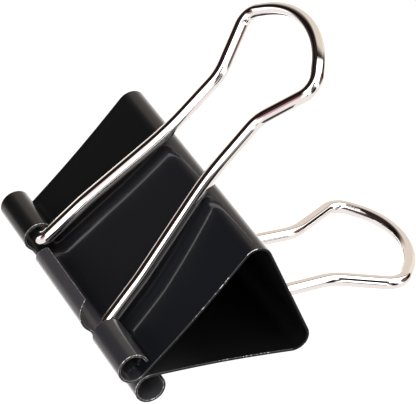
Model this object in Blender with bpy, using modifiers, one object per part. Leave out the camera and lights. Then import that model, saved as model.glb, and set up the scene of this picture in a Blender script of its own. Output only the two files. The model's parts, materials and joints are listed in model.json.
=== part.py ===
"""Large foldback binder clip: one sprung steel sheet and two wire handles.

The sheet is a hollow triangular prism that is open at both ends. Its two jaws
meet at the mouth and are joined by the spine at the rear. It is made here as
three bodies, so that the bends beside the spine can flex: the spine with the
inner half of both bends, and the two jaws with the outer halves. Each mouth
lip is rolled outwards into a barrel at either end and a short tab in the
middle, with a slot on each side of the tab for a leg of the wire handle.

The section is laid out in clip coordinates (p, q): p runs from the mouth to
the spine along the mid-plane and q is its normal. The clip then lies on its
lower handle, tilted so that the lower barrels and the lower handle's loop both
touch z = 0. World Y is the width.
"""
import math

import bmesh
import bpy
from mathutils import Matrix, Vector

MM = 0.001

# Sheet, in millimetres and degrees
WIDTH = 51.0
SHEET = 0.45
JAW_LENGTH = 29.7            # barrel centre to the sharp rear corner
HALF_ANGLE = 20.9            # that line to the mid-plane
LIP_SET_BACK = 1.1           # the lower lip sits this much behind the upper one
LIP_GAP = 0.15
CORNER_R = 2.7               # outer radius of the rear bends
JAW_BOW = 0.33               # each jaw is bowed inwards by this much
MAX_OPENING = 24.0           # each jaw's swing
BEND_GAP = MAX_OPENING + 2.0  # free angle left in each rear bend for that swing

# Rolled lips
BARREL_R = 2.7
BARREL_ROLL = 300.0          # sweep from the jaw's face to the free edge
TAB_ROLL = 203.0
SLOT_ROLL = 72.0
BARREL_INNER_END = 14.8      # distance from the middle of the width
TAB_ROOT = 10.3              # half-widths of the middle tab
TAB_EDGE = 8.1
TAB_TAPER = 1.6              # above 1, the tab narrows mostly near its free edge

# Wire handles
WIRE_R = 1.25
WIRE_END = 21.3              # the legs end here inside the barrels
HANDLE_GAP = 0.3             # wire to rear bend
UPPER_WIRE_OFFSET = -0.2     # wire axis from barrel axis, outwards from the clip
LOWER_WIRE_OFFSET = 0.75
SIDE_PLAY = 0.3              # both wires lie this far off the middle of the width
HANDLE_TIP = 58.0            # pivot axis to the centre line at the loop's end
# Corners of half the handle's outline: along the handle, across it, bend radius
HANDLE_CORNERS = (
    (0.0, 13.3, 1.8),
    (10.0, 12.0, 25.0),
    (29.0, 7.8, 40.0),
    (41.5, 7.45, 7.0),
    (51.8, 13.1, 3.2),
)
LOOP_END_R = 15.5

ARC_STEP = 15.0
WIRE_ARC_STEP = 12.0
JAW_LINE_STEPS = 6


def polar(degrees, length=1.0):
    """2D vector at an angle from +p towards +q."""
    return Vector((math.cos(math.radians(degrees)), math.sin(math.radians(degrees)))) * length


def angle_of(vector):
    return math.degrees(math.atan2(vector.y, vector.x))


def arc(centre, radius, start, end, step=ARC_STEP):
    """Points of an arc from one angle to the other, both ends included."""
    count = max(1, math.ceil(abs(end - start) / step))
    return [centre + polar(start + (end - start) * k / count, radius) for k in range(count + 1)]


class Jaw:
    """Layout of one jaw. side is +1 for the upper jaw and -1 for the lower one.

    Local coordinates start at the barrel's centre: +x to the spine and +y
    outwards, so that both jaws share their formulas.
    """

    def __init__(self, side):
        self.side = side
        half_drop = math.sqrt((2 * BARREL_R + LIP_GAP) ** 2 - LIP_SET_BACK ** 2) / 2
        self.barrel = Vector((-side * LIP_SET_BACK / 2, side * half_drop))
        self.face_angle = HALF_ANGLE + math.degrees(math.asin((BARREL_R - SHEET) / JAW_LENGTH))
        self.corner = polar(HALF_ANGLE, JAW_LENGTH)

    def to_clip(self, point):
        return self.barrel + Vector((point.x, self.side * point.y))

    def set_bend(self, other):
        """Rear bend between this jaw's outer face and the spine's."""
        other_corner = other.to_clip(other.corner)
        towards = (other_corner - self.to_clip(self.corner)).normalized()
        spine_angle = angle_of(Vector((towards.x, self.side * towards.y)))
        self.turn = self.face_angle - spine_angle
        tangent = CORNER_R * math.tan(math.radians(self.turn / 2))
        outward = polar(self.face_angle + 90.0)
        self.bend_centre = self.corner - polar(self.face_angle, tangent) - outward * CORNER_R

    def sheet_path(self):
        """Middle of the sheet from the free edge of the barrel to the bend, with each row's roll angle."""
        outward = polar(self.face_angle + 90.0)
        roll_r = BARREL_R - SHEET / 2
        bend_r = CORNER_R - SHEET / 2
        stops = (BARREL_ROLL, TAB_ROLL, SLOT_ROLL, 0.0)
        rolls = [BARREL_ROLL]
        for start, end in zip(stops, stops[1:]):
            count = math.ceil((start - end) / ARC_STEP)
            rolls += [start + (end - start) * (k + 1) / count for k in range(count)]
        points = [polar(self.face_angle - 90.0 - roll, roll_r) for roll in rolls]
        first = points[-1]
        last = self.bend_centre + outward * bend_r
        for k in range(1, JAW_LINE_STEPS):
            part = k / JAW_LINE_STEPS
            points.append(first.lerp(last, part) - outward * JAW_BOW * math.sin(math.pi * part))
        kept = (self.turn - BEND_GAP) / 2
        start = self.face_angle + 90.0
        points += arc(self.bend_centre, bend_r, start, start - kept)
        rolls += [0.0] * (len(points) - len(rolls))
        return points, rolls

    def spine_bend(self):
        """The spine's share of the bend, from its free end to the spine's flat."""
        start = self.face_angle + 90.0
        kept = (self.turn - BEND_GAP) / 2
        return arc(self.bend_centre, CORNER_R - SHEET / 2, start - self.turn + kept, start - self.turn)

    def wire_axis(self):
        offset = UPPER_WIRE_OFFSET if self.side > 0 else LOWER_WIRE_OFFSET
        return polar(self.face_angle + 90.0, offset)

    def handle_angle(self):
        """Angle at which the wire rests over the rear bend."""
        reach = self.bend_centre - self.wire_axis()
        clear = CORNER_R + WIRE_R + HANDLE_GAP
        return angle_of(reach) + math.degrees(math.asin(clear / reach.length))


def tab_half_width(roll):
    """The tab's ends curve inwards, from its root at the slots' floor to its free edge."""
    part = min(max((roll - SLOT_ROLL) / (TAB_ROLL - SLOT_ROLL), 0.0), 1.0)
    return TAB_ROOT + (TAB_EDGE - TAB_ROOT) * part ** TAB_TAPER


def material(name, colour, roughness, metallic):
    made = bpy.data.materials.new(name)
    made.use_nodes = True
    shader = made.node_tree.nodes["Principled BSDF"]
    shader.inputs["Base Color"].default_value = (*colour, 1.0)
    shader.inputs["Roughness"].default_value = roughness
    shader.inputs["Metallic"].default_value = metallic
    return made


def grid_sheet(name, rows, columns, place, keep):
    """Bend a flat grid into a sheet and thicken it.

    place(row, column) gives the point of each grid vertex, and keep(row, column)
    says whether the cell after that vertex is part of the blank.
    """
    mesh = bpy.data.meshes.new(name)
    shape = bmesh.new()
    bmesh.ops.create_grid(shape, x_segments=rows - 1, y_segments=columns - 1, size=0.5)
    cells = {}
    for vertex in shape.verts:
        row = round((vertex.co.x + 0.5) * (rows - 1))
        column = round((vertex.co.y + 0.5) * (columns - 1))
        cells[vertex] = (row, column)
    waste = []
    for face in shape.faces:
        row = min(cells[vertex][0] for vertex in face.verts)
        column = min(cells[vertex][1] for vertex in face.verts)
        if not keep(row, column):
            waste.append(face)
    for vertex, (row, column) in cells.items():
        vertex.co = place(row, column)
    bmesh.ops.delete(shape, geom=waste, context="FACES")
    bmesh.ops.recalc_face_normals(shape, faces=shape.faces)
    shape.to_mesh(mesh)
    shape.free()
    made = bpy.data.objects.new(name, mesh)
    thicken = made.modifiers.new("thickness", "SOLIDIFY")
    thicken.thickness = SHEET * MM
    thicken.offset = 0.0
    thicken.use_even_offset = True
    mesh.shade_smooth()
    mesh.set_sharp_from_angle(angle=math.radians(35.0))
    return made


def make_jaw(name, jaw, pivot):
    """A jaw with its two barrels and its middle tab."""
    points, rolls = jaw.sheet_path()
    half = WIDTH / 2

    def place(row, column):
        tab = tab_half_width(rolls[row])
        across = (-half, -BARREL_INNER_END, -tab, 0.0, tab, BARREL_INNER_END, half)[column]
        flat = jaw.to_clip(points[row]) - pivot
        return Vector((flat.x, across, flat.y)) * MM

    def keep(row, column):
        roll = rolls[row]
        if column in (0, 5):
            return True
        if column in (1, 4):
            return roll <= SLOT_ROLL
        return roll <= TAB_ROLL

    return grid_sheet(name, len(points), 7, place, keep)


def make_spine(name, upper, lower):
    """The flat spine with its share of both rear bends."""
    points = [upper.to_clip(point) for point in upper.spine_bend()]
    points += [lower.to_clip(point) for point in reversed(lower.spine_bend())]

    def place(row, column):
        across = (column - 0.5) * WIDTH
        return Vector((points[row].x, across, points[row].y)) * MM

    return grid_sheet(name, len(points), 2, place, lambda row, column: True)


def rounded(corners, step):
    """Outline through corners given as (point, radius), each corner turned into an arc."""
    points = [corners[0][0]]
    for (before, _), (here, radius), (after, _) in zip(corners, corners[1:], corners[2:]):
        inward = (before - here).normalized()
        onward = (after - here).normalized()
        half_turn = (math.pi - inward.angle(onward)) / 2
        start = here + inward * radius * math.tan(half_turn)
        centre = here + (inward + onward).normalized() * radius / math.cos(half_turn)
        first = angle_of(start - centre)
        sweep = math.degrees(half_turn * 2)
        turn_left = (here - before).cross(after - here) > 0
        points += arc(centre, radius, first, first + (sweep if turn_left else -sweep), step)
    points.append(corners[-1][0])
    return points


def handle_outline():
    """Centre line of a handle, from one leg's end to the other's."""
    shoulder = Vector(HANDLE_CORNERS[-1][:2])
    loop_centre = Vector((HANDLE_TIP - LOOP_END_R, 0.0))
    reach = shoulder - loop_centre
    tangent_angle = angle_of(reach) - math.degrees(math.acos(LOOP_END_R / reach.length))
    apex = Vector((loop_centre.x + LOOP_END_R / math.cos(math.radians(tangent_angle)), 0.0))
    side = [(Vector((x, y)), radius) for x, y, radius in HANDLE_CORNERS]
    other = [(Vector((point.x, -point.y)), radius) for point, radius in reversed(side)]
    ends = [(Vector((0.0, WIRE_END)), 0.0), (Vector((0.0, -WIRE_END)), 0.0)]
    return rounded([ends[0], *side, (apex, LOOP_END_R), *other, ends[1]], WIRE_ARC_STEP)


def make_handle(name):
    """A wire handle, in its own plane with its origin on its pivot axis."""
    outline = handle_outline()
    curve = bpy.data.curves.new(name, "CURVE")
    curve.dimensions = "3D"
    curve.bevel_depth = WIRE_R * MM
    curve.bevel_resolution = 4
    curve.use_fill_caps = True
    spline = curve.splines.new("POLY")
    spline.points.add(len(outline) - 1)
    for target, point in zip(spline.points, outline):
        target.co = (point.x * MM, point.y * MM, 0.0, 1.0)
    return bpy.data.objects.new(name, curve)


def make_pivot(name, collection, parent, offset, across=0.0):
    pivot = bpy.data.objects.new(name, None)
    pivot.empty_display_size = 5 * MM
    pivot.parent = parent
    pivot.location = Vector((offset.x, across, offset.y)) * MM
    collection.objects.link(pivot)
    return pivot


def attach(item, collection, parent, finish):
    item.parent = parent
    item.data.materials.append(finish)
    collection.objects.link(item)


def main():
    for item in list(bpy.data.objects):
        bpy.data.objects.remove(item, do_unlink=True)
    clip = bpy.data.collections.new("binder_clip")
    bpy.context.scene.collection.children.link(clip)

    upper = Jaw(1)
    lower = Jaw(-1)
    upper.set_bend(lower)
    lower.set_bend(upper)

    # Table line under the lower barrels and the lower handle's loop
    handle_direction = polar(lower.handle_angle())
    tip = lower.to_clip(lower.wire_axis() + handle_direction * HANDLE_TIP)
    reach = tip - lower.barrel
    table = angle_of(reach) + math.degrees(math.asin((BARREL_R - WIRE_R) / reach.length))
    turn = Matrix.Rotation(math.radians(-table), 2)
    lift = BARREL_R - (turn @ lower.barrel).y
    front = min((turn @ jaw.barrel).x for jaw in (upper, lower)) - BARREL_R
    rear = (turn @ tip).x + WIRE_R

    frame = bpy.data.objects.new("clip_frame", None)
    frame.empty_display_size = 10 * MM
    frame.location = Vector((-(front + rear) / 2, 0.0, lift)) * MM
    frame.rotation_euler = (0.0, math.radians(table), 0.0)
    clip.objects.link(frame)

    enamel = (0.012, 0.013, 0.015)
    chrome = (0.86, 0.84, 0.81)
    spine_finish = material("spine_enamel", enamel, 0.25, 0.0)
    attach(make_spine("spine", upper, lower), clip, frame, spine_finish)
    for name, jaw in (("upper", upper), ("lower", lower)):
        bend = jaw.to_clip(jaw.bend_centre)
        hinge = make_pivot(f"{name}_jaw_hinge", clip, frame, bend)
        body = make_jaw(f"{name}_jaw", jaw, bend)
        attach(body, clip, hinge, material(f"{name}_jaw_enamel", enamel, 0.25, 0.0))
        wire_axis = jaw.to_clip(jaw.wire_axis())
        pivot = make_pivot(f"{name}_handle_pivot", clip, hinge, wire_axis - bend, SIDE_PLAY)
        pivot.rotation_euler = (0.0, math.radians(-jaw.side * jaw.handle_angle()), 0.0)
        handle = make_handle(f"{name}_handle")
        attach(handle, clip, pivot, material(f"{name}_handle_chrome", chrome, 0.08, 1.0))


main()
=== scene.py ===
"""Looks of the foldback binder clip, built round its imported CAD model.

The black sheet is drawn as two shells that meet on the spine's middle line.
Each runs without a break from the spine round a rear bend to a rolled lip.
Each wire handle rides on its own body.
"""
import json
import math

import bmesh
import bpy
from mathutils import Matrix, Vector


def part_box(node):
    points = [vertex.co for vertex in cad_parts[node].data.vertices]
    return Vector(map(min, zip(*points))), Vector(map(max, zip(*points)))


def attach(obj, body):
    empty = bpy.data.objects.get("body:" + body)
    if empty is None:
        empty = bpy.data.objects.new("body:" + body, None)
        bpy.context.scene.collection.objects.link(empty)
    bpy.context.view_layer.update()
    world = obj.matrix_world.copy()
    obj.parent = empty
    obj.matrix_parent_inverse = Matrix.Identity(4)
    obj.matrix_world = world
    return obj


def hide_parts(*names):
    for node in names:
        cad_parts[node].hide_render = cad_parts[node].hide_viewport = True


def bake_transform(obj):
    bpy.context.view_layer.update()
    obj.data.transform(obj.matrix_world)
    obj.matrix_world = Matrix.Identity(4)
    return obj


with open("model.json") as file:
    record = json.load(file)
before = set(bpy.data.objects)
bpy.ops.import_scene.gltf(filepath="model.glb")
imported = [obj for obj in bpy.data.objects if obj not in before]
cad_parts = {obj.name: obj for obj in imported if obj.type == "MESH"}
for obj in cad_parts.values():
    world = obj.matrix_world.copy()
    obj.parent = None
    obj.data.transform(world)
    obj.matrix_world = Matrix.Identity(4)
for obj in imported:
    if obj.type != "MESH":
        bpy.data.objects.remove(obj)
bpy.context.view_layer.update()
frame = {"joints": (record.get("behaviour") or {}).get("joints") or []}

MM = 0.001

# Sheet, in millimetres and degrees, as the CAD model has it
WIDTH = 51.0
SHEET = 0.45
JAW_LENGTH = 29.7
HALF_ANGLE = 20.9
LIP_SET_BACK = 1.1
LIP_GAP = 0.15
CORNER_R = 2.7
JAW_BOW = 0.33
BARREL_R = 2.7
BARREL_ROLL = 300.0
TAB_ROLL = 203.0
SLOT_ROLL = 72.0
BARREL_INNER_END = 14.8
TAB_ROOT = 10.3
TAB_EDGE = 8.1
TAB_TAPER = 1.6

# Finer features of the sheet
SLOT_CORNER_R = 0.7
TAB_CORNER_R = 0.5
BARREL_CORNER_R = 0.35
EDGE_ROUND = 0.09
SHARP_ANGLE = 50.0           # edges that turn more than this are rounded

# Steps of the sheet's mesh, and how far a point of the seam may lie off its line
ROLL_STEP = 5.0
BEND_STEP = 5.0
JAW_LINE_STEPS = 14
TAB_SIDE_STEPS = 8
CORNER_STEP = 15.0
SEAM_TOLERANCE = 0.01

# Wire handles, with the corners of one half as (forward, sideways, radius)
WIRE_R = 1.25
WIRE_END = 21.3
HANDLE_TIP = 58.0
HANDLE_CORNERS = (
    (0.0, 13.3, 1.8),
    (10.0, 12.0, 25.0),
    (29.0, 7.8, 40.0),
    (41.5, 7.45, 7.0),
    (51.8, 13.1, 3.2),
)
LOOP_END_R = 15.5
WIRE_ARC_STEP = 3.0
WIRE_ROUNDNESS = 8           # bevel resolution of the wire's curve
WIRE_END_ROUND = 0.35
WELD = 0.001                 # points of the wire closer than this become one

# Bare metal on the arrises: stretches as (middle along the blank, half length, amount)
WEAR_ZONES = ((39.5, 1.2, 0.26), (30.0, 6.0, 0.10), (6.0, 8.0, 0.10))
WEAR_LEAST = -0.04           # amount everywhere, to which a stretch adds its own
WEAR_CORE = 0.6              # share of each stretch that has its full amount

# Painted light on the rolled lips, on the tab and on the barrel at -Y, as if lit more: stretches as
# (middle across the blank, half length, amount), each with a soft border
PAINTED_LIGHT_ROLLS = ((0.0, 10.6, 1.0), (-20.0, 6.5, 0.55))
PAINTED_LIGHT_ROLL_BORDER = 0.4
ROLL_END = (12.4, 13.2)      # the rolls pass into the flat jaw here, along the blank

# Outer enamel, across the blank: where its painted light in the middle fades out, and its painted shade
# on the +Y side sets in
PAINTED_LIGHT_MIDDLE = (5.0, 16.0)
PAINTED_LIGHT_MIDDLE_AMOUNT = 0.6
PAINTED_SHADE_SIDE = (5.0, 14.0)

# Inner faces, along the blank: where they turn from lighter, with painted light near the mouth, to
# darker behind it
PAINTED_LIGHT_INSIDE = (13.0, 24.0)

# Inner faces, in the clip's plane: the middle of the hollow, and where the matt finish starts
INSIDE_HEART = 18.0
INSIDE_FROM = 2.5
LOWER_CHIPS_TO = 24.0        # the lower jaw's inner arrises are chipped up to here

# Base colours of the finishes
ENAMEL_DARK = (0.0054, 0.0061, 0.0082, 1.0)
ENAMEL_PALE = (0.0064, 0.0072, 0.0096, 1.0)
# Painted light in the middle of the width, and painted shade on the +Y side
ENAMEL_PAINTED_LIGHT_MIDDLE = (0.0088, 0.0092, 0.0118, 1.0)
ENAMEL_PAINTED_SHADE_SIDE = (0.0034, 0.0036, 0.0044, 1.0)
# Painted light on the outer enamel of the tab and of the barrel at -Y
ENAMEL_PAINTED_LIGHT_ROLL = (0.041, 0.039, 0.044, 1.0)
ENAMEL_SPECK = (0.05, 0.05, 0.052, 1.0)
FLAT_DARK = (0.0032, 0.0032, 0.0034, 1.0)
FLAT_PALE = (0.0045, 0.0045, 0.0048, 1.0)
# Painted light on the inner faces near the mouth and inside the barrels
FLAT_PAINTED_LIGHT_MOUTH = (0.015, 0.015, 0.016, 1.0)
FLAT_PAINTED_LIGHT_ROLL = (0.045, 0.044, 0.047, 1.0)
CUT_JAW = (0.0055, 0.0057, 0.0064, 1.0)
# Painted highlight on the cut faces of the rolled lips
CUT_PAINTED_HIGHLIGHT_ROLL = (0.024, 0.0235, 0.025, 1.0)
CUT_BARE = (0.45, 0.43, 0.41, 1.0)
ARRIS_JAW = (0.030, 0.030, 0.032, 1.0)
# Painted highlight on the arrises of the rolled lips
ARRIS_PAINTED_HIGHLIGHT_ROLL = (0.110, 0.107, 0.111, 1.0)
ARRIS_BARE = (0.70, 0.68, 0.66, 1.0)
PLATING_CLEAN = (0.96, 0.94, 0.92, 1.0)
PLATING_DULL = (0.91, 0.88, 0.86, 1.0)

# Noise values between which a ramp runs
NOISE_SPAN = (0.2, 0.8)
DULL_SPAN = (0.25, 0.8)
SPECK_SPAN = (0.80, 0.84)
SPOT_SPAN = (0.68, 0.74)
WEAR_SPAN = (0.58, 0.66)

# Places of the sheet's finishes among its material slots
OUTSIDE, CUT, ARRIS, INSIDE = range(4)

# Camera: its target and distance in metres, the azimuth that it looks along, from +Y towards +X, and
# how many degrees above the target it stands
CAMERA_TARGET = Vector((-0.00539, 0.00038, 0.01732))
CAMERA_DISTANCE = 0.582
CAMERA_AZIMUTH = 25.36
CAMERA_ELEVATION = 33.68
CAMERA_ROLL = 1.91
CAMERA_LENS = 303.7

# Studio: floor, and round zones of the world as (azimuth, elevation, radius, softness, colour), with
# azimuths from +Y towards +X. Lighting and reflections see the zones. The camera sees plain white.
FLOOR_DROP = 75.0            # low enough for jaws and handles at their limits
FLOOR_HALF_SIZE = 3.0        # metres
FLOOR_COLOUR = (0.12, 0.12, 0.12)
FLOOR_GLOW = 0.92
SOFT_WHITE = (2.8, 2.8, 2.8)
PALE_BELOW = (0.93, 0.88, 0.86)
CREAM = (0.78, 0.69, 0.61)
WARM_WHITE = (2.2, 2.15, 2.1)
PALE_CREAM = (0.93, 0.84, 0.74)
DARK = (0.010, 0.006, 0.005)
BROWN = (0.16, 0.10, 0.09)
UMBER = (0.035, 0.020, 0.021)
GREY = (0.16, 0.15, 0.15)
MAUVE = (0.60, 0.32, 0.36)
STUDIO_ZONES = (
    (0.0, -90.0, 88.0, 6.0, PALE_BELOW),
    (28.0, 25.0, 57.0, 2.5, DARK),
    (28.0, 18.0, 54.0, 6.0, CREAM),
    (26.0, -32.0, 30.0, 22.0, WARM_WHITE),
    (78.0, -2.0, 27.0, 9.0, PALE_CREAM),
    (-36.0, 44.0, 20.0, 13.0, DARK),
    (118.0, 16.0, 24.0, 6.0, BROWN),
    (95.0, 10.0, 16.0, 4.0, DARK),
    (-98.0, 8.0, 17.0, 7.0, MAUVE),
    (-82.0, 17.0, 12.0, 5.0, UMBER),
    (-60.0, 46.0, 28.0, 3.0, DARK),
    (-58.0, 44.0, 21.0, 6.0, UMBER),
    (-44.0, 20.0, 18.0, 9.0, DARK),
    (-35.0, 1.0, 9.0, 8.0, DARK),
    (-174.0, 16.0, 16.0, 6.0, GREY),
    (170.0, 0.0, 16.0, 5.0, DARK),
    (-157.0, 48.0, 10.0, 2.0, DARK),
    (-157.0, 32.0, 9.0, 2.0, DARK),
    (-150.0, -5.0, 6.0, 3.0, DARK),
)


def polar(degrees, length=1.0):
    """2D vector at an angle from the first axis towards the second."""
    return Vector((math.cos(math.radians(degrees)), math.sin(math.radians(degrees)))) * length


def angle_of(vector):
    return math.degrees(math.atan2(vector.y, vector.x))


def arc(centre, radius, start, end, step):
    """Points of an arc from one angle to the other, both ends included."""
    count = max(1, math.ceil(abs(end - start) / step))
    return [centre + polar(start + (end - start) * k / count, radius) for k in range(count + 1)]


def rounded(corners, step, closed=False):
    """Outline through corners given as (point, radius), each corner turned into an arc."""
    if closed:
        corners = [corners[-1], *corners, corners[0]]
    points = [] if closed else [corners[0][0]]
    for (before, _), (here, radius), (after, _) in zip(corners, corners[1:], corners[2:]):
        if radius == 0.0:
            points.append(here)
            continue
        inward = (before - here).normalized()
        onward = (after - here).normalized()
        half_turn = (math.pi - inward.angle(onward)) / 2
        start = here + inward * radius * math.tan(half_turn)
        centre = here + (inward + onward).normalized() * radius / math.cos(half_turn)
        first = angle_of(start - centre)
        sweep = math.degrees(half_turn * 2)
        turn_left = (here - before).cross(after - here) > 0
        points += arc(centre, radius, first, first + (sweep if turn_left else -sweep), step)
    if not closed:
        points.append(corners[-1][0])
    return points


class Jaw:
    """Layout of one jaw in the clip's own plane, as in the CAD model: side is +1 above and -1 below."""

    def __init__(self, side):
        self.side = side
        half_drop = math.sqrt((2 * BARREL_R + LIP_GAP) ** 2 - LIP_SET_BACK ** 2) / 2
        self.barrel = Vector((-side * LIP_SET_BACK / 2, side * half_drop))
        self.face_angle = HALF_ANGLE + math.degrees(math.asin((BARREL_R - SHEET) / JAW_LENGTH))
        self.corner = polar(HALF_ANGLE, JAW_LENGTH)

    def to_clip(self, point):
        return self.barrel + Vector((point.x, self.side * point.y))

    def meet(self, other):
        """Set the rear bend and the middle of the spine, between this jaw and the other one."""
        far = other.to_clip(other.corner)
        near = self.to_clip(self.corner)
        towards = (far - near).normalized()
        self.spine_angle = angle_of(Vector((towards.x, self.side * towards.y)))
        self.turn = self.face_angle - self.spine_angle
        outward = polar(self.face_angle + 90.0)
        tangent = CORNER_R * math.tan(math.radians(self.turn / 2))
        self.bend_centre = self.corner - polar(self.face_angle, tangent) - outward * CORNER_R
        self.spine_middle = self.corner + polar(self.spine_angle, (far - near).length / 2)

    def path(self):
        """Middle of the sheet from the barrel's free edge to the middle of the spine."""
        roll_r = BARREL_R - SHEET / 2
        bend_r = CORNER_R - SHEET / 2
        outward = polar(self.face_angle + 90.0)
        first_angle = self.face_angle - 90.0 - BARREL_ROLL
        points = arc(Vector((0.0, 0.0)), roll_r, first_angle, first_angle + BARREL_ROLL, ROLL_STEP)
        first = points[-1]
        last = self.bend_centre + outward * bend_r
        for k in range(1, JAW_LINE_STEPS):
            part = k / JAW_LINE_STEPS
            points.append(first.lerp(last, part) - outward * JAW_BOW * math.sin(math.pi * part))
        start = self.face_angle + 90.0
        points += arc(self.bend_centre, bend_r, start, start - self.turn, BEND_STEP)
        points.append(self.spine_middle - polar(self.spine_angle + 90.0, SHEET / 2))
        return points


UPPER = Jaw(1)
LOWER = Jaw(-1)
UPPER.meet(LOWER)
LOWER.meet(UPPER)


def joint_place(name):
    joint = next(joint for joint in frame["joints"] if joint["name"] == name)
    return Vector(joint["pos_m"])


def clip_to_world():
    """Turn and shift from the clip's plane to the frame, from the two jaw hinges."""
    upper = joint_place("upper_jaw_flex").xz
    lower = joint_place("lower_jaw_flex").xz
    plan = LOWER.to_clip(LOWER.bend_centre) - UPPER.to_clip(UPPER.bend_centre)
    turn = Matrix.Rotation(math.radians(angle_of(lower - upper) - angle_of(plan)), 2)
    shift = upper - turn @ UPPER.to_clip(UPPER.bend_centre) * MM
    return turn, shift


TURN, SHIFT = clip_to_world()


def place(flat, across=0.0):
    """From a point of the clip's plane and a distance across, in millimetres, to the frame in metres."""
    world = TURN @ flat * MM + SHIFT
    return Vector((world.x, across * MM, world.y))


def add_object(name, data):
    item = bpy.data.objects.new(name, data)
    bpy.context.scene.collection.objects.link(item)
    return item


# ---------------------------------------------------------------- node materials

class Shader:
    """Nodes of a material or world, put together one at a time."""

    def __init__(self, owner, surface):
        owner.use_nodes = True
        self.owner = owner
        self.nodes = owner.node_tree.nodes
        self.links = owner.node_tree.links
        self.surface = self.nodes[surface]

    def add(self, kind, inputs=None, **settings):
        node = self.nodes.new("ShaderNode" + kind)
        for key, value in settings.items():
            setattr(node, key, value)
        for key, value in (inputs or {}).items():
            self.feed(node, key, value)
        return node

    def feed(self, node, key, value):
        if isinstance(value, bpy.types.NodeSocket):
            self.links.new(value, node.inputs[key])
        else:
            node.inputs[key].default_value = value

    def set(self, **values):
        for key, value in values.items():
            self.feed(self.surface, key.replace("_", " "), value)

    def noise(self, vector, scale, detail, roughness=0.5):
        inputs = {"Vector": vector, "Scale": scale, "Detail": detail, "Roughness": roughness}
        return self.add("TexNoise", inputs).outputs["Fac"]

    def ramp(self, value, low, high, start=0.0, end=1.0):
        """Smooth step of a value from start to end, between low and high."""
        inputs = {"Value": value, "From Min": low, "From Max": high, "To Min": start, "To Max": end}
        return self.add("MapRange", inputs, interpolation_type="SMOOTHSTEP").outputs["Result"]

    def mix(self, factor, first, second):
        """Mix of two colours, whose sockets stand after those for plain numbers and vectors."""
        return self.add("Mix", {0: factor, 6: first, 7: second}, data_type="RGBA").outputs[2]

    def math(self, operation, first, second):
        return self.add("Math", {0: first, 1: second}, operation=operation).outputs[0]

    def bump(self, height, distance, strength, normal=None):
        inputs = {"Height": height, "Distance": distance, "Strength": strength}
        if normal:
            inputs["Normal"] = normal
        return self.add("Bump", inputs).outputs["Normal"]


def material_shader(name):
    return Shader(bpy.data.materials.new(name), "Principled BSDF")


def sheet_coordinates(shader):
    """Place on the flat blank, in millimetres, from the shell's UV map."""
    uv = shader.add("UVMap", uv_map="blank").outputs["UV"]
    inputs = {0: uv, 1: (WIDTH, WIDTH, WIDTH)}
    return shader.add("VectorMath", inputs, operation="MULTIPLY").outputs["Vector"]


def along_blank(shader, place_mm):
    """Distance along the blank from the free edge of the barrels."""
    return shader.add("SeparateXYZ", {"Vector": place_mm}).outputs["X"]


def across_blank(shader, place_mm):
    """Distance from the middle of the width. The UV maps hold it shifted by one width, either way."""
    across = shader.add("SeparateXYZ", {"Vector": place_mm}).outputs["Y"]
    return shader.add("Math", {0: across, 1: WIDTH / 2, 2: -WIDTH / 2}, operation="WRAP").outputs[0]


def distance_from(shader, value, middle):
    return shader.math("ABSOLUTE", shader.math("SUBTRACT", value, middle), 0.0)


def painted_light_roll_mask(shader, along):
    """Mask of painted light: one on the rolled lips, and zero on the rest of the sheet."""
    return shader.ramp(along, *ROLL_END, start=1.0, end=0.0)


def painted_light_on_rolls(shader, place_mm, cloud):
    """Painted light: how far some of the rolled lips are painted paler than the rest of the enamel."""
    across = across_blank(shader, place_mm)
    painted_lighter = 0.0
    for middle, half_length, amount in PAINTED_LIGHT_ROLLS:
        distance = distance_from(shader, across, middle)
        zone = shader.ramp(distance, half_length - PAINTED_LIGHT_ROLL_BORDER, half_length, start=amount, end=0.0)
        painted_lighter = shader.math("ADD", zone, painted_lighter)
    rolled = painted_light_roll_mask(shader, along_blank(shader, place_mm))
    uneven = shader.ramp(cloud, *NOISE_SPAN, start=0.85, end=1.0)
    return shader.math("MULTIPLY", shader.math("MULTIPLY", painted_lighter, rolled), uneven)


def enamel():
    """Glossy black enamel with a faint orange peel, not equally dark everywhere: random tone, painted
    light in the middle of the width and on some rolled lips, and painted shade on the +Y side.
    """
    shader = material_shader("black_enamel")
    place_mm = sheet_coordinates(shader)
    cloud = shader.noise(place_mm, scale=0.12, detail=3.0)
    peel = shader.noise(place_mm, scale=1.6, detail=2.0)
    grain = shader.noise(place_mm, scale=9.0, detail=3.0)
    speck = shader.ramp(shader.noise(place_mm, scale=3.2, detail=1.0), *SPECK_SPAN)
    across = across_blank(shader, place_mm)
    off_middle = distance_from(shader, across, 0.0)
    # painted light in the middle of the width
    painted_lighter = shader.ramp(off_middle, *PAINTED_LIGHT_MIDDLE, start=PAINTED_LIGHT_MIDDLE_AMOUNT, end=0.0)
    base = shader.mix(cloud, ENAMEL_DARK, ENAMEL_PALE)
    base = shader.mix(painted_lighter, base, ENAMEL_PAINTED_LIGHT_MIDDLE)
    # painted shade on the +Y side
    base = shader.mix(shader.ramp(across, *PAINTED_SHADE_SIDE), base, ENAMEL_PAINTED_SHADE_SIDE)
    # painted light on the tab and on the barrel at -Y
    base = shader.mix(painted_light_on_rolls(shader, place_mm, cloud), base, ENAMEL_PAINTED_LIGHT_ROLL)
    shader.set(Base_Color=shader.mix(speck, base, ENAMEL_SPECK))
    shader.set(Roughness=shader.ramp(grain, *NOISE_SPAN, start=0.30, end=0.42))
    shader.set(IOR=1.22, Coat_Weight=0.55, Coat_Roughness=0.07)
    rough = shader.bump(grain, distance=0.000004, strength=0.35)
    shader.set(Normal=shader.bump(peel, distance=0.00006, strength=0.07, normal=rough))
    return shader.owner


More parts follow.
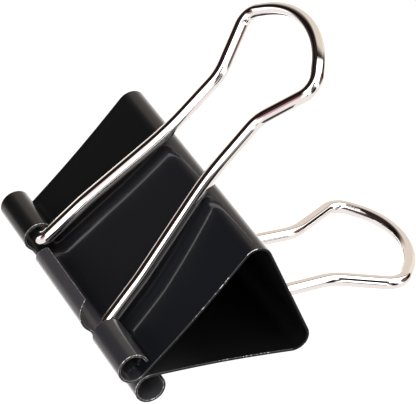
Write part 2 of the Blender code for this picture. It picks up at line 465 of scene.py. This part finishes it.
def flat_enamel():
    """The matt enamel on the inner faces, with painted light near the mouth and inside the barrels."""
    shader = material_shader("flat_enamel")
    place_mm = sheet_coordinates(shader)
    cloud = shader.noise(place_mm, scale=0.3, detail=3.0)
    grain = shader.noise(place_mm, scale=7.0, detail=3.0)
    along = along_blank(shader, place_mm)
    base = shader.mix(cloud, FLAT_DARK, FLAT_PALE)
    # painted light near the mouth and inside the barrels
    base = shader.mix(shader.ramp(along, *PAINTED_LIGHT_INSIDE, start=1.0, end=0.0), base, FLAT_PAINTED_LIGHT_MOUTH)
    shader.set(Base_Color=shader.mix(painted_light_roll_mask(shader, along), base, FLAT_PAINTED_LIGHT_ROLL))
    shader.set(Roughness=shader.ramp(grain, *NOISE_SPAN, start=0.48, end=0.62), IOR=1.15)
    shader.set(Normal=shader.bump(grain, distance=0.000006, strength=0.4))
    return shader.owner


def cut_edge():
    """The enamel on the sheared faces of the sheet, with a few bare spots and a painted highlight on the
    rolled lips.
    """
    shader = material_shader("cut_edge")
    place_mm = sheet_coordinates(shader)
    spots = shader.noise(place_mm, scale=1.9, detail=3.0, roughness=0.6)
    bare = shader.ramp(spots, *SPOT_SPAN)
    fine = shader.noise(place_mm, scale=12.0, detail=2.0)
    # painted highlight on the cut faces of the rolled lips
    base = shader.mix(painted_light_roll_mask(shader, along_blank(shader, place_mm)), CUT_JAW, CUT_PAINTED_HIGHLIGHT_ROLL)
    shader.set(Base_Color=shader.mix(bare, base, CUT_BARE), Metallic=bare)
    shader.set(Roughness=shader.ramp(fine, *NOISE_SPAN, start=0.28, end=0.45), IOR=1.22)
    shader.set(Normal=shader.bump(fine, distance=0.00001, strength=0.5))
    return shader.owner


def worn_arris_with_painted_highlight():
    """The sheet's arrises, bare in chips and, at the rear bends, in a streak, with a painted highlight
    on the rolled lips.
    """
    shader = material_shader("worn_arris_with_painted_highlight")
    place_mm = sheet_coordinates(shader)
    along = along_blank(shader, place_mm)
    uneven = shader.noise(place_mm, scale=2.1, detail=4.0, roughness=0.65)
    worn = shader.math("ADD", uneven, WEAR_LEAST)
    for middle, half_length, amount in WEAR_ZONES:
        distance = distance_from(shader, along, middle)
        zone = shader.ramp(distance, half_length * WEAR_CORE, half_length, start=amount, end=0.0)
        worn = shader.math("ADD", worn, zone)
    bare = shader.ramp(worn, *WEAR_SPAN)
    fine = shader.noise(place_mm, scale=14.0, detail=2.0)
    # painted highlight on the arrises of the rolled lips
    base = shader.mix(painted_light_roll_mask(shader, along), ARRIS_JAW, ARRIS_PAINTED_HIGHLIGHT_ROLL)
    shader.set(Base_Color=shader.mix(bare, base, ARRIS_BARE), Metallic=bare)
    shader.set(Roughness=shader.ramp(fine, *NOISE_SPAN, start=0.22, end=0.40))
    shader.set(Normal=shader.bump(bare, distance=0.00002, strength=0.4))
    return shader.owner


def plated_wire():
    """Bright plating with a fine grain and slightly duller patches."""
    shader = material_shader("plated_wire")
    place_m = shader.add("TexCoord").outputs["Object"]
    dull = shader.noise(place_m, scale=260.0, detail=3.0)
    fine = shader.noise(place_m, scale=2600.0, detail=2.0)
    shader.set(Base_Color=shader.mix(dull, PLATING_CLEAN, PLATING_DULL), Metallic=1.0)
    shader.set(Roughness=shader.ramp(dull, *DULL_SPAN, start=0.035, end=0.085))
    shader.set(Normal=shader.bump(fine, distance=0.0000035, strength=0.25))
    return shader.owner


# ---------------------------------------------------------------- the sheet

def lengths_along(points):
    along = [0.0]
    for first, second in zip(points, points[1:]):
        along.append(along[-1] + (second - first).length)
    return along


def roll_length(degrees):
    """Length of sheet in a part of the roll, on the chords that the path takes."""
    chord = 2 * (BARREL_R - SHEET / 2) * math.sin(math.radians(ROLL_STEP / 2))
    return chord * degrees / ROLL_STEP


def blank_outline(end):
    """Outline of the flat blank as (along, across), from the barrels' free edges to the seam."""
    tab_edge = roll_length(BARREL_ROLL - TAB_ROLL)
    floor = roll_length(BARREL_ROLL - SLOT_ROLL)
    half = WIDTH / 2
    side = [((0.0, half), BARREL_CORNER_R), ((0.0, BARREL_INNER_END), BARREL_CORNER_R)]
    side += [((floor, BARREL_INNER_END), SLOT_CORNER_R), ((floor, TAB_ROOT), SLOT_CORNER_R)]
    for k in range(1, TAB_SIDE_STEPS):
        part = k / TAB_SIDE_STEPS
        across = TAB_ROOT + (TAB_EDGE - TAB_ROOT) * part ** TAB_TAPER
        side.append(((floor + (tab_edge - floor) * part, across), 0.0))
    side.append(((tab_edge, TAB_EDGE), TAB_CORNER_R))
    mirrored = [((along, -across), radius) for (along, across), radius in reversed(side)]
    ends = [((end, -half), 0.0), ((end, half), 0.0)]
    corners = [(Vector(point), radius) for point, radius in (*side, *mirrored, *ends)]
    return rounded(corners, CORNER_STEP, closed=True)


def rolled_point(points, along, distance):
    """Point of the path at a distance along the blank."""
    for k in range(len(points) - 1):
        if distance <= along[k + 1] or k == len(points) - 2:
            part = (distance - along[k]) / (along[k + 1] - along[k])
            return points[k].lerp(points[k + 1], part)


def flat_blank(outline, stations):
    """The blank as a flat mesh in millimetres, cut across at every station so that it can be rolled."""
    shape = bmesh.new()
    shape.faces.new([shape.verts.new((point.x, point.y, 0.0)) for point in outline])
    for station in stations:
        geometry = [*shape.verts, *shape.edges, *shape.faces]
        plane = {"plane_co": (station, 0.0, 0.0), "plane_no": (1.0, 0.0, 0.0)}
        bmesh.ops.bisect_plane(shape, geom=geometry, **plane)
    return shape


def rolled_mesh(name, jaw):
    """Middle surface of one half of the sheet, whose UV map holds the places on the flat blank."""
    points = jaw.path()
    along = lengths_along(points)
    shape = flat_blank(blank_outline(along[-1]), along[1:-1])
    layer = shape.loops.layers.uv.new("blank")
    for face in shape.faces:
        for loop in face.loops:
            loop[layer].uv = (loop.vert.co.x / WIDTH, loop.vert.co.y / WIDTH + jaw.side)
    for vertex in shape.verts:
        flat = jaw.to_clip(rolled_point(points, along, vertex.co.x))
        vertex.co = place(flat, vertex.co.y)
    bmesh.ops.recalc_face_normals(shape, faces=shape.faces)
    mesh = bpy.data.meshes.new(name)
    shape.to_mesh(mesh)
    shape.free()
    return mesh


def make_shell(name, jaw, finishes):
    """One half of the sheet, from a rolled lip to the middle of the spine."""
    shell = add_object(name, rolled_mesh(name, jaw))
    for finish in finishes:
        shell.data.materials.append(finish)
    thicken = shell.modifiers.new("thickness", "SOLIDIFY")
    thicken.thickness = SHEET * MM
    thicken.offset = 0.0
    thicken.use_even_offset = True
    thicken.material_offset_rim = CUT
    apply_modifiers(shell)
    mark_inside(shell, jaw)
    round_cut_edges(shell, place(jaw.to_clip(jaw.spine_middle)))
    spare_inner_arrises(shell, INSIDE_FROM if jaw is UPPER else LOWER_CHIPS_TO)
    weighted = shell.modifiers.new("normals", "WEIGHTED_NORMAL")
    weighted.weight = 100
    weighted.keep_sharp = True
    apply_modifiers(shell)
    return shell


def apply_modifiers(item):
    """Replace an object's mesh by its mesh with all modifiers applied."""
    graph = bpy.context.evaluated_depsgraph_get()
    made = bpy.data.meshes.new_from_object(item.evaluated_get(graph), depsgraph=graph)
    old = item.data
    item.modifiers.clear()
    item.data = made
    bpy.data.meshes.remove(old)
    made.name = item.name


def way_in_plane(start, end):
    """Way from one point of the frame to another, without its part along the width."""
    return Vector((end.x - start.x, 0.0, end.z - start.z))


def faces_hollow(face, start):
    """Whether a face looks at the middle of the hollow, and lies behind a start in the clip's plane."""
    behind = (TURN.transposed() @ (face.center.xz - SHIFT)).x > start * MM
    heart = place(Vector((INSIDE_HEART, 0.0)))
    return behind and face.normal.dot(way_in_plane(face.center, heart)) > 0


def mark_inside(shell, jaw):
    """Give the matt finish to the faces that look into the hollow or into a barrel."""
    roll_axis = place(jaw.barrel)
    for face in shell.data.polygons:
        to_axis = way_in_plane(face.center, roll_axis)
        on_barrel = to_axis.length < BARREL_R * MM and abs(face.center.y) > BARREL_INNER_END * MM
        faces_axis = on_barrel and face.normal.dot(to_axis) > 0
        if face.material_index == OUTSIDE and (faces_axis or faces_hollow(face, INSIDE_FROM)):
            face.material_index = INSIDE


def round_cut_edges(shell, seam):
    """Round the edges of the cut faces, apart from those at the seam with the other shell."""
    spine_top = place(UPPER.to_clip(UPPER.corner))
    spine_line = (place(LOWER.to_clip(LOWER.corner)) - spine_top).normalized()
    shape = bmesh.new()
    shape.from_mesh(shell.data)

    def at_seam(vertex):
        return abs((vertex.co - seam).dot(spine_line)) < SEAM_TOLERANCE * MM

    corners = [edge for edge in shape.edges if edge.calc_face_angle(0.0) > math.radians(SHARP_ANGLE)]
    seam_corners = [edge for edge in corners if all(at_seam(vertex) for vertex in edge.verts)]
    for edge in seam_corners:
        edge.smooth = False
    sharp = [edge for edge in corners if edge not in seam_corners]
    for face in shape.faces:
        face.smooth = True
    rounding = {"offset": EDGE_ROUND * MM, "segments": 2, "profile": 0.5, "material": ARRIS}
    bmesh.ops.bevel(shape, geom=sharp, affect="EDGES", **rounding)
    shape.to_mesh(shell.data)
    shape.free()


def spare_inner_arrises(shell, start):
    """From a start onwards, give the arrises that look into the hollow the finish of the cut faces."""
    for face in shell.data.polygons:
        if face.material_index == ARRIS and faces_hollow(face, start):
            face.material_index = CUT


def make_sheet():
    finishes = (enamel(), cut_edge(), worn_arris_with_painted_highlight(), flat_enamel())
    for name, jaw in (("upper", UPPER), ("lower", LOWER)):
        shell = make_shell(f"{name}_shell", jaw, finishes)
        bend_from = jaw.bend_centre + polar(jaw.spine_angle + 90.0, CORNER_R)
        bend_to = jaw.bend_centre + polar(jaw.face_angle + 90.0, CORNER_R)
        start = place(jaw.to_clip(bend_from))
        end = place(jaw.to_clip(bend_to))
        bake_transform(shell)
        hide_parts(f"{name}_jaw", "spine")


# ---------------------------------------------------------------- the handles

def handle_outline():
    """Centre line of a handle in its own plane, from one leg's end to the other's."""
    shoulder = Vector(HANDLE_CORNERS[-1][:2])
    loop_centre = Vector((HANDLE_TIP - LOOP_END_R, 0.0))
    reach = shoulder - loop_centre
    tangent_angle = angle_of(reach) - math.degrees(math.acos(LOOP_END_R / reach.length))
    apex = Vector((loop_centre.x + LOOP_END_R / math.cos(math.radians(tangent_angle)), 0.0))
    side = [(Vector((x, y)), radius) for x, y, radius in HANDLE_CORNERS]
    other = [(Vector((point.x, -point.y)), radius) for point, radius in reversed(side)]
    ends = [(Vector((0.0, WIRE_END)), 0.0), (Vector((0.0, -WIRE_END)), 0.0)]
    return rounded([ends[0], *side, (apex, LOOP_END_R), *other, ends[1]], WIRE_ARC_STEP)


def wire_mesh(name, points):
    """A round wire along points of the frame, with rounded ends."""
    curve = bpy.data.curves.new(name, "CURVE")
    curve.dimensions = "3D"
    curve.bevel_depth = WIRE_R * MM
    curve.bevel_resolution = WIRE_ROUNDNESS
    curve.use_fill_caps = True
    spline = curve.splines.new("POLY")
    spline.points.add(len(points) - 1)
    for target, point in zip(spline.points, points):
        target.co = (*point, 1.0)
    drawn = add_object(name, curve)
    graph = bpy.context.evaluated_depsgraph_get()
    mesh = bpy.data.meshes.new_from_object(drawn.evaluated_get(graph), depsgraph=graph)
    bpy.data.objects.remove(drawn)
    shape = bmesh.new()
    shape.from_mesh(mesh)
    bmesh.ops.remove_doubles(shape, verts=shape.verts, dist=WELD * MM)
    # Only the caps at the wire's ends have more than four corners.
    rims = [edge for edge in shape.edges if any(len(face.verts) > 4 for face in edge.link_faces)]
    rounding = {"offset": WIRE_END_ROUND * MM, "segments": 3, "profile": 0.5}
    bmesh.ops.bevel(shape, geom=rims, affect="EDGES", **rounding)
    bmesh.ops.recalc_face_normals(shape, faces=shape.faces)
    shape.to_mesh(mesh)
    shape.free()
    mesh.shade_smooth()
    return mesh


def make_handle(name, finish):
    """A wire handle on its joint's axis, lying along the plane of its CAD node."""
    pivot = joint_place(f"{name}_swing")
    low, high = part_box(name)
    tip_z = high.z - WIRE_R * MM if name.startswith("upper") else low.z + WIRE_R * MM
    tip = Vector((high.x - WIRE_R * MM, pivot.y, tip_z))
    forward = (tip - pivot).normalized()
    sideways = Vector((0.0, 1.0, 0.0))
    points = [pivot + (forward * x + sideways * y) * MM for x, y in handle_outline()]
    mesh = wire_mesh(name, points)
    mesh.materials.clear()
    mesh.materials.append(finish)
    wire = add_object(f"{name}_wire", mesh)
    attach(wire, name)
    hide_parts(name)


# ---------------------------------------------------------------- studio

def make_floor():
    """Pale floor below the clip. Reflections look through it at the world."""
    mesh = bpy.data.meshes.new("floor")
    shape = bmesh.new()
    bmesh.ops.create_grid(shape, x_segments=1, y_segments=1, size=FLOOR_HALF_SIZE)
    shape.to_mesh(mesh)
    shape.free()
    shader = material_shader("floor_white")
    shader.set(Base_Color=(*FLOOR_COLOUR, 1.0), Roughness=0.9, Specular_IOR_Level=0.0)
    shader.set(Emission_Color=(1.0, 1.0, 1.0, 1.0), Emission_Strength=FLOOR_GLOW)
    mesh.materials.append(shader.owner)
    floor = add_object("floor", mesh)
    floor.location.z = -FLOOR_DROP * MM
    floor.visible_glossy = False


def direction(azimuth, elevation):
    """Unit vector at an azimuth from +Y towards +X and an elevation, in degrees."""
    level = polar(90.0 - azimuth, math.cos(math.radians(elevation)))
    return Vector((level.x, level.y, math.sin(math.radians(elevation))))


def make_world():
    """Studio of round coloured zones on white, of which the camera itself sees only white."""
    world = bpy.data.worlds.new("studio")
    bpy.context.scene.world = world
    shader = Shader(world, "Background")
    towards = shader.add("TexCoord").outputs["Generated"]
    colour = (*SOFT_WHITE, 1.0)
    for azimuth, elevation, radius, softness, zone_colour in STUDIO_ZONES:
        inputs = {0: towards, 1: direction(azimuth, elevation)}
        dot = shader.add("VectorMath", inputs, operation="DOT_PRODUCT")
        outer = math.cos(math.radians(radius + softness))
        inner = math.cos(math.radians(radius - softness))
        inside = shader.ramp(dot.outputs["Value"], outer, inner)
        colour = shader.mix(inside, colour, (*zone_colour, 1.0))
    seen = shader.add("LightPath").outputs["Is Camera Ray"]
    shader.feed(shader.surface, "Color", shader.mix(seen, colour, (1.0, 1.0, 1.0, 1.0)))


def make_camera():
    roll = math.radians(CAMERA_ROLL)
    back = direction(CAMERA_AZIMUTH + 180.0, CAMERA_ELEVATION)
    level_right = direction(CAMERA_AZIMUTH + 90.0, 0.0)
    right = level_right * math.cos(roll) + back.cross(level_right) * math.sin(roll)
    up = back.cross(right)
    data = bpy.data.cameras.new("camera")
    data.lens = CAMERA_LENS
    camera = add_object("camera", data)
    turn = Matrix((right, up, back)).transposed().to_4x4()
    camera.matrix_world = Matrix.Translation(CAMERA_TARGET + back * CAMERA_DISTANCE) @ turn
    bpy.context.scene.camera = camera


make_sheet()
wire_finish = plated_wire()
for handle_name in ("upper_handle", "lower_handle"):
    make_handle(handle_name, wire_finish)
make_floor()
make_world()
make_camera()
bpy.context.scene.view_settings.view_transform = "Standard"
